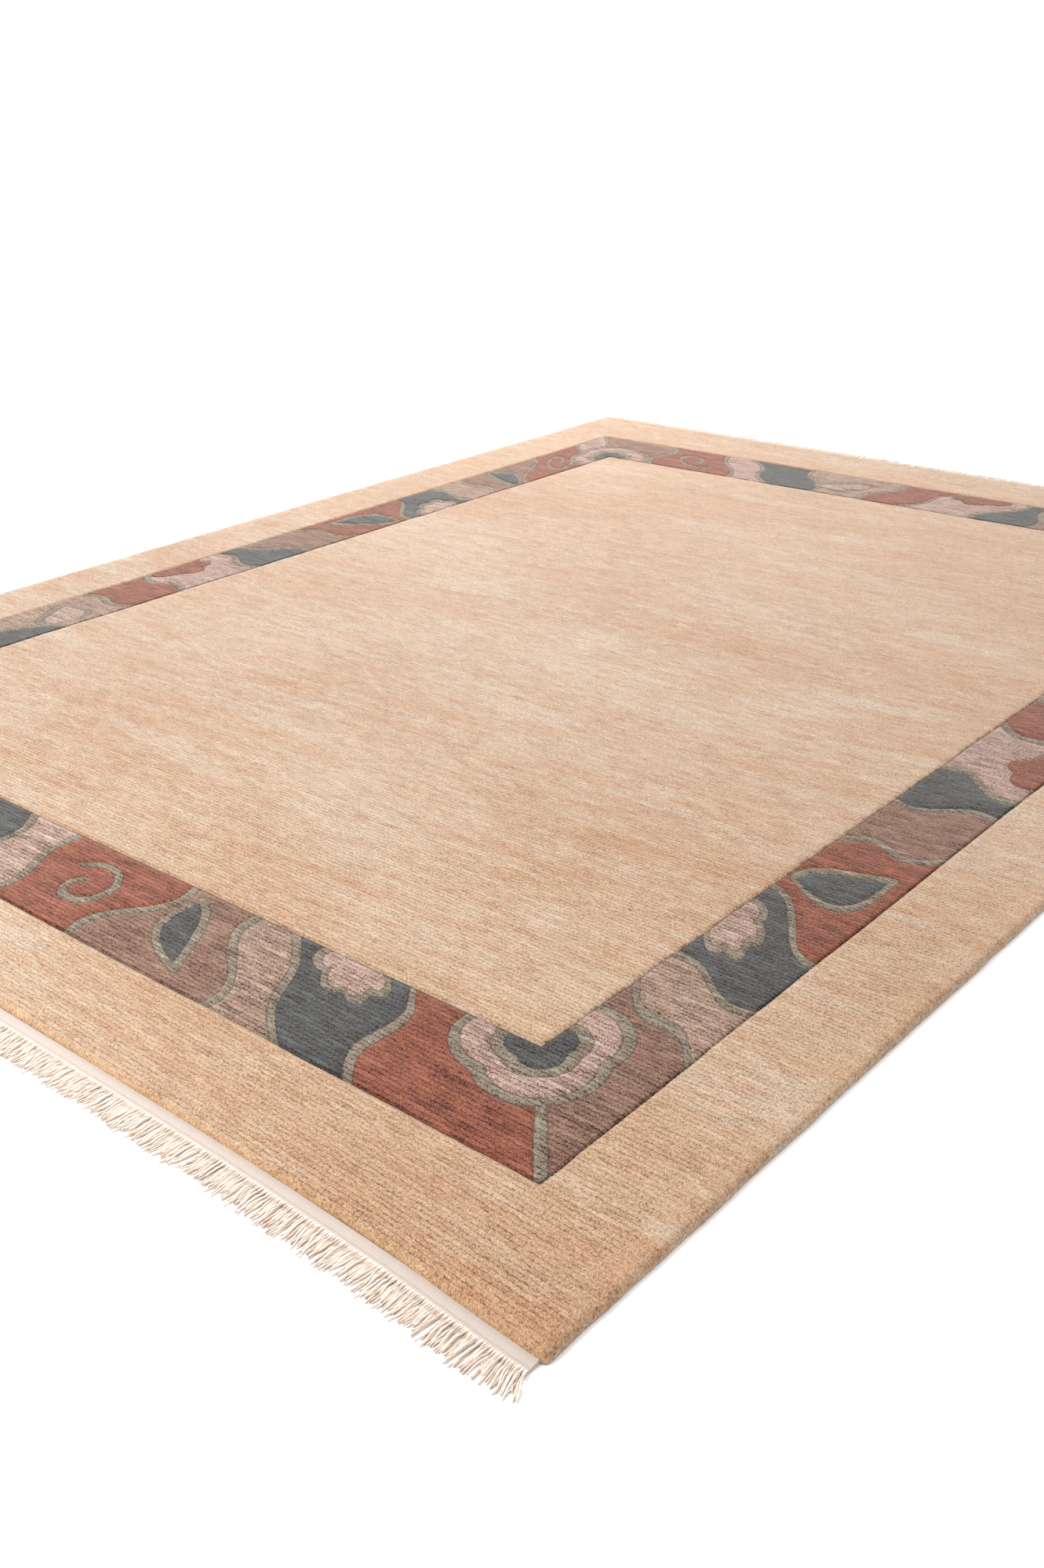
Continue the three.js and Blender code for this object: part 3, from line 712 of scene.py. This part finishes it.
# Selects what lies wholly among the chosen vertices, for the next operator
def pick(piece, chosen, mode):
    mesh = piece.data
    ends = np.zeros(len(mesh.edges) * 2, np.int32)
    mesh.edges.foreach_get("vertices", ends)
    corners = np.zeros(len(mesh.loops), np.int32)
    mesh.loops.foreach_get("vertex_index", corners)
    starts = np.zeros(len(mesh.polygons), np.int32)
    mesh.polygons.foreach_get("loop_start", starts)
    mesh.vertices.foreach_set("select", chosen)
    mesh.edges.foreach_set("select", chosen[ends.reshape(-1, 2)].all(axis=1))
    faces = np.logical_and.reduceat(chosen[corners], starts) if mode == "FACE" else np.zeros(len(starts), bool)
    mesh.polygons.foreach_set("select", faces)
    bpy.ops.object.mode_set(mode="EDIT")
    bpy.ops.mesh.select_mode(type=mode)
    if mode == "FACE":      # changing the mode keeps only whole faces
        bpy.ops.object.mode_set(mode="OBJECT")
        mesh.polygons.foreach_set("select", faces)
        bpy.ops.object.mode_set(mode="EDIT")


share = sharesOf(guard.data)
pick(guard, ((share > 1 - 1e-4) & (share < 4 + 1e-4)).all(axis=1), "FACE")
bpy.ops.mesh.delete(type="FACE")
bpy.ops.object.mode_set(mode="OBJECT")

# The rounded shoulder and side of the pile, one extruded ring after another: (inset from the outline, height)
pileEdge = [(2.9, 9.8), (1.1, 8.3), (0.2, 6.0), (0.0, 2.8), (0.9, 0.0)]


def atRim(share):
    return (share < 1e-4).any(axis=1) | (share > 5 - 1e-4).any(axis=1)


pick(guard, atRim(sharesOf(guard.data)), "EDGE")
lastInset = shoulder
for level, (inset, height) in enumerate(pileEdge):
    bpy.ops.mesh.extrude_edges_move()
    bpy.ops.object.mode_set(mode="OBJECT")
    places, picked, share = vertexPlaces(guard.data), selectedVertices(guard.data), sharesOf(guard.data)
    outward = ((share > 5 - 1e-4) * 1.0 - (share < 1e-4) * 1.0)[picked]
    outward = outward / np.hypot(*outward.T)[:, None]
    x, y = places[picked, 0] / mm + rug["middle"][0], places[picked, 1] / mm + rug["middle"][1]
    uneven = np.where(np.abs(outward[:, 0]) > 0.9, 0.15, 0.06) * (height > 0)
    move = lastInset - inset + uneven * handNoise(x, y, 2.7, 2.7, 21 + level)
    places[picked] = packedPlace(x + outward[:, 0] * move, y + outward[:, 1] * move,
                                 height + uneven * handNoise(x, y, 2.7, 2.7, 31 + level))
    guard.data.vertices.foreach_set("co", places.astype(np.float32).ravel())
    wall = np.zeros(len(guard.data.vertices), np.float32)
    guard.data.attributes["wall"].data.foreach_get("value", wall)
    wall[picked] = np.abs(outward[:, 1]) > 0.9
    guard.data.attributes["wall"].data.foreach_set("value", wall)
    knots = np.zeros(len(guard.data.vertices) * 3, np.float32)
    guard.data.attributes["knotPlace"].data.foreach_get("vector", knots)
    knots = knots.reshape(-1, 3)
    knots[picked, 2] = (rug["thickness"] - height) / rug["rowPitch"]
    guard.data.attributes["knotPlace"].data.foreach_set("vector", knots.ravel())
    guard.data.update()
    lastInset = inset
    bpy.ops.object.mode_set(mode="EDIT")
bpy.ops.object.mode_set(mode="OBJECT")
share = sharesOf(guard.data)
pick(guard, ~atRim(share) & ((np.abs(share - 1) < 1e-4) | (np.abs(share - 4) < 1e-4)).any(axis=1)
     & ((share > 1 - 1e-4) & (share < 4 + 1e-4)).all(axis=1), "EDGE")
bpy.ops.mesh.extrude_edges_move()
bpy.ops.transform.resize(value=(1, 1, 0), center_override=(0, 0, 0))
bpy.ops.mesh.select_all(action="DESELECT")
bpy.ops.mesh.select_non_manifold()
bpy.ops.mesh.fill()
bpy.ops.mesh.select_all(action="SELECT")
bpy.ops.mesh.normals_make_consistent(inside=False)
bpy.ops.object.mode_set(mode="OBJECT")
finishPiece(guard, "root", sandPile, "pile_rug")


# The ends: a flat-woven strip of the foundation, and the warps that run out of it, in millimetres
endStrip = {
    "profile": [(0, 4.8), (2.5, 4.3), (6, 3.9), (9, 3.5), (10.6, 2.8), (11.2, 3.2), (12.6, 3.6), (14, 3.1),
                (18, 1.2)],     # (out from the pile, height)
    "length": 1940,
    "ribPitch": 1.9,
    "rib": 0.22,
    "ribbedTo": 10.2,           # the ribs fade into a rolled edge beyond this
}
fringe = {
    "count": 400,               # warps in each layer
    "layers": [                 # thickness, share of the full length, lift, shade
        # the layer beneath is painted darker, for the shade between the warps above it
        {"radius": 1.75, "reach": (0.78, 0.95), "lift": (0.0, 0.1), "shade": (0.4, 0.7)},
        {"radius": 1.3, "reach": (0.85, 1.05), "lift": (0.3, 1.2), "shade": (0.0, 0.3)},
        {"radius": 1.35, "reach": (0.8, 1.05), "lift": (1.0, 2.6), "shade": (0.0, 0.1)},
    ],
    "length": (26, 34),
    "root": 12.5,               # how far out on the strip the warps start
    "lean": 4.0,
    "stray": 1.9,               # how far one warp leans away from its neighbours
    "curl": 1.9,
    "twist": 5.0,               # radians from root to tip
    "thickness": (0.85, 1.15),  # share of the layer's radius
    "sections": 8,
    "fanned": 9,                # the last few fan out past the corner
}


# Along and outward millimetres on an end, as x and y of the rug
def placeAtEnd(side, along, across):
    facing = -1 if side == "near" else 1
    start = -rug["halfWidth"] - outAt(sides["left"], 1 if side == "near" else -1) + rug["cornerRadius"]
    end = rug["halfWidth"] + outAt(sides["right"], -1 if side == "near" else 1) - rug["cornerRadius"]
    x = start + (end - start) * along
    return x, edgeAt(side, x) + facing * (rug["clearance"] + across)


def weaveStrip(side, name):
    columns = int(endStrip["length"] / (endStrip["ribPitch"] / 2))
    profile = np.array(endStrip["profile"])
    bpy.ops.mesh.primitive_grid_add(x_subdivisions=columns, y_subdivisions=len(profile) - 1, size=1,
                                    location=(0, 0, 0.003))
    strip = bpy.context.object
    strip.name = strip.data.name = name
    bpy.ops.object.transform_apply(location=True, rotation=True, scale=True)
    along = np.tile(np.linspace(0, 1, columns + 1), len(profile))
    across, z = np.repeat(profile[:, 0], columns + 1), np.repeat(profile[:, 1], columns + 1)
    column = np.tile(np.arange(columns + 1), len(profile))
    rib = np.where(column % 2 == 0, 1.0, -1.0) * np.where(across < endStrip["ribbedTo"], 1.0, 0.3)
    x, y = placeAtEnd(side, along, across)
    z = z + endStrip["rib"] * rib * (0.8 + 0.4 * handNoise(x, y, 9, 9, 41)) + 0.15 * handNoise(x, y, 14, 6, 42)
    y = y + 0.4 * handNoise(x, y, 12, 40, 43) * (across > 1)
    strip.data.vertices.foreach_set("co", packedPlace(x, y, z).astype(np.float32).ravel())
    storeAttribute(strip.data, "weave", "FLOAT_VECTOR", np.stack([column / 2, across, 0 * across], axis=1))
    strip.data.update()
    closeBelow()
    return strip


def twistWarps(side, name, seed):
    random = np.random.default_rng(seed)
    count, sections = fringe["count"], fringe["sections"]
    bpy.ops.mesh.primitive_cylinder_add(vertices=5, radius=1, depth=1, location=(0, 0, 0.5),
                                        end_fill_type="NGON")
    base = bpy.context.object
    bpy.ops.object.transform_apply(location=True, rotation=True, scale=True)
    bpy.ops.object.mode_set(mode="EDIT")
    bpy.ops.mesh.select_mode(type="EDGE")
    bpy.ops.mesh.select_all(action="DESELECT")
    bpy.ops.object.mode_set(mode="OBJECT")
    for edge in base.data.edges:
        a, b = (base.data.vertices[i].co for i in edge.vertices)
        edge.select = abs(a.z - b.z) > 0.5
    bpy.ops.object.mode_set(mode="EDIT")
    bpy.ops.mesh.subdivide(number_cuts=sections - 1)
    bpy.ops.object.mode_set(mode="OBJECT")
    model = vertexPlaces(base.data)
    warps = []
    facing = -1 if side == "near" else 1
    stripWidth = endStrip["profile"][-1][0]
    t, around = model[:, 2], np.arctan2(model[:, 1], model[:, 0])
    for i in range(len(fringe["layers"]) * count):
        layer, place = divmod(i, count)
        row = fringe["layers"][layer]
        along = np.clip((place + 0.33 * layer + random.uniform(0, 0.6)) / count, 0.001, 0.999)
        radius = row["radius"] * random.uniform(*fringe["thickness"])
        radius = radius * (1 - 0.15 * t) * np.where(t > 0.999, 0.75, 1)      # thinner towards a rounded tip
        length = random.uniform(*fringe["length"]) * random.uniform(*row["reach"]) + stripWidth - fringe["root"]
        lean = fringe["lean"] * handNoise(np.array([place * 1.0]), np.array([seed * 1.0]), 7, 9, seed)[0]
        lean += random.normal(0, fringe["stray"])
        lean += max(0, fringe["fanned"] - count + place) * 1.1
        wave, phase = random.normal(0, fringe["curl"]), random.uniform(0, 6.28)
        sideways = lean * t**1.4 + wave * (np.sin(phase + 5.2 * t) - math.sin(phase)) * t**0.5 * 0.6
        lift = random.uniform(*row["lift"])
        centre = (3.1 - 0.6 * radius) * (1 - t) ** 1.5 + lift * np.sin(np.pi * np.clip(t * 1.1, 0, 1)) ** 0.8
        centre = np.maximum(centre, radius)
        x, y = placeAtEnd(side, along, 0)
        angle = around + fringe["twist"] * t
        bulge = 1 - 0.3 * np.sin(around) ** 2
        px = x + sideways + np.cos(angle) * radius * bulge
        py = y + facing * (fringe["root"] + length * t * (1 - 0.012 * abs(lean)))
        pz = np.maximum(centre + np.sin(angle) * radius * bulge, 0)
        warp = bpy.data.objects.new(name, base.data.copy())
        bpy.context.scene.collection.objects.link(warp)
        warp.data.vertices.foreach_set("co", packedPlace(px, py, pz).astype(np.float32).ravel())
        storeAttribute(warp.data, "warpShade", "FLOAT", np.full(len(t), random.uniform(*row["shade"])))
        storeAttribute(warp.data, "weave", "FLOAT_VECTOR", np.stack([angle, t * length, 0 * t + i], axis=1))
        warps.append(warp)
    bpy.data.objects.remove(base)
    bpy.ops.object.select_all(action="DESELECT")
    for warp in warps:
        warp.select_set(True)
    bpy.context.view_layer.objects.active = warps[0]
    bpy.ops.object.join()
    joined = bpy.context.object
    joined.name = joined.data.name = name
    bpy.ops.object.mode_set(mode="EDIT")
    bpy.ops.mesh.select_all(action="SELECT")
    bpy.ops.mesh.normals_make_consistent(inside=False)
    bpy.ops.object.mode_set(mode="OBJECT")
    return joined


# Each cotton's own colour, and the colour of its painted shade
cottonColours = {
    "ribbedWarpCotton": {"body": "#b6aaa1", "paintedShade": "#8f7460"},
    "plyWarpCotton": {"body": "#dacdc1", "paintedShade": "#ad9076"},
}


# Undyed cotton: the strip is a tight rib of warps, dull and chalky; the loose warps are plied and softer, with
# painted brown shade on the ones beneath and low down near the floor.
def warpCotton(name, loose):
    material = bpy.data.materials.new(name)
    material.use_nodes = True
    tree = material.node_tree
    tree.nodes.clear()
    place = addNode(tree, "Attribute", out="Vector", attribute_name="weave")
    solid = addNode(tree, "TexCoord", out="Object")
    fluff = addNode(tree, "TexNoise", {"Vector": solid, "Scale": 700.0, "Detail": 3.0})      # 1.4 mm
    if loose:
        twist = addNode(tree, "Mapping", {"Vector": place, "Scale": (0.32, 0.7, 0)})
        ply = addNode(tree, "TexWave", {"Vector": twist, "Scale": 1.0, "Distortion": 0.6}, out="Fac",
                      wave_type="BANDS", bands_direction="DIAGONAL")
        height = addNode(tree, "SeparateXYZ", {0: solid}, out="Z")
        # Painted shade low on each warp near the floor, added to each warp's own painted shade
        low = addNode(tree, "MapRange", {0: height, 1: 0.0, 2: 0.0012, 3: 0.3, 4: 0.0})
        under = addNode(tree, "Attribute", out="Fac", attribute_name="warpShade")
        dark = addNode(tree, "Math", {0: low, 1: under}, operation="ADD", use_clamp=True)
    else:
        # Painted shade between the ribs, and a painted shadow line under the rolled edge
        ribs = addNode(tree, "Mapping", {"Vector": place, "Scale": (0.5, 0.035, 0)})
        ply = addNode(tree, "TexWave", {"Vector": ribs, "Scale": 1.0, "Distortion": 1.2, "Detail": 2.0},
                      out="Fac", wave_type="BANDS", bands_direction="X")
        dark = addNode(tree, "MapRange", {0: ply, 1: 0.0, 2: 0.5, 3: 0.3, 4: 0.0})
        across = addNode(tree, "SeparateXYZ", {0: place}, out="Y")
        uneven = addNode(tree, "TexNoise", {"Vector": place, "Scale": 0.35, "Detail": 2.0})
        rolledEdgeShadow = addNode(tree, "Math", {0: across, 1: 10.6, 2: 0.7}, operation="COMPARE")     # by the rolled edge
        rolledEdgeShadow = addNode(tree, "Math", {0: rolledEdgeShadow, 1: uneven}, operation="MULTIPLY")
        dark = addNode(tree, "Math", {0: rolledEdgeShadow, 1: 0.5, 2: dark}, operation="MULTIPLY_ADD", use_clamp=True)
    height = addNode(tree, "Math", {0: ply, 1: 0.35 if loose else 1.0, 2: fluff}, operation="MULTIPLY_ADD")
    cotton = cottonColours[name]
    colour = addNode(tree, "Mix", {0: dark, 6: sRGB(cotton["body"]), 7: sRGB(cotton["paintedShade"])}, **colours)
    bump = addNode(tree, "Bump", {"Height": height, "Strength": 0.5, "Distance": 0.0005})
    shader = addNode(tree, "BsdfPrincipled", {
        "Base Color": colour, "Roughness": 0.9, "Specular IOR Level": 0.2, "Sheen Weight": 0.2,
        "Sheen Roughness": 0.5, "Normal": bump})
    addNode(tree, "OutputMaterial", {"Surface": shader})
    return material


stripCotton, looseCotton = warpCotton("ribbedWarpCotton", False), warpCotton("plyWarpCotton", True)
for side, seed in (("near", 11), ("far", 47)):
    node = "fringe_" + side
    strip = weaveStrip(side, "endStrip" + side.capitalize())
    finishPiece(strip, "root", stripCotton, node)
    warps = twistWarps(side, "fringe" + side.capitalize(), seed)
    finishPiece(warps, "root", looseCotton, node)

# A matt white floor that runs out past the picture
bpy.ops.mesh.primitive_grid_add(x_subdivisions=8, y_subdivisions=8, size=80, location=(0, 0, -0.0002))
floor = bpy.context.object
floor.name = floor.data.name = "floor"
paper = bpy.data.materials.new("whitePaperFloor")      # matt white studio floor
paper.use_nodes = True
floorShader = paper.node_tree.nodes["Principled BSDF"]
floorShader.inputs["Base Color"].default_value = sRGB("#fbfbfb")
floorShader.inputs["Roughness"].default_value = 0.9
floorShader.inputs["Specular IOR Level"].default_value = 0.1
floor.data.materials.append(paper)

scene = bpy.context.scene
scene.view_settings.view_transform = "Standard"
world = bpy.data.worlds.new("studio")
scene.world = world
world.use_nodes = True
studio = world.node_tree.nodes["Background"]
studio.inputs["Color"].default_value = (1, 1, 1, 1)
studio.inputs["Strength"].default_value = 1.05

# Two soft lamps, in watts and metres, that face the rug's middle from where they stand
lights = {
    "window": {"place": (-2.0, 1.6, 2.2), "towards": (-2.0, 1.6, 2.2), "energy": 135, "size": 1.6},
    "reflector": {"place": (-0.2, -2.4, 1.5), "towards": (0.2, -1.6, 1.5), "energy": 56, "size": 1.4},
}
for name, values in lights.items():
    lamp = bpy.data.lights.new(name, "AREA")
    lamp.energy = values["energy"]
    lamp.size = values["size"]
    holder = bpy.data.objects.new(name, lamp)
    scene.collection.objects.link(holder)
    holder.location = values["place"]
    holder.rotation_euler = Vector(values["towards"]).to_track_quat("Z", "Y").to_euler()
print("lit by", len(lights), "lamps and the studio")

camera = {
    "place": (1.58388, -1.99528, 0.91950),
    "right": (0.75928, 0.65032, -0.02384),
    "down": (0.25986, -0.33657, -0.90509),
    "forward": (-0.59663, 0.68103, -0.42454),
    "lens": 36.888,
    "sensor": 36,
}
cameraData = bpy.data.cameras.new("camera")
cameraData.sensor_fit = "VERTICAL"
cameraData.sensor_height = camera["sensor"]
cameraData.lens = camera["lens"]
cameraData.clip_start, cameraData.clip_end = 0.05, 200
cameraObject = bpy.data.objects.new("camera", cameraData)
scene.collection.objects.link(cameraObject)
axes = Matrix([camera["right"], [-c for c in camera["down"]], [-c for c in camera["forward"]]]).transposed()
cameraPlace = Vector(camera["place"]) - Vector((*rug["middle"], 0)) * mm
cameraObject.matrix_world = Matrix.Translation(cameraPlace) @ axes.to_4x4()
scene.camera = cameraObject
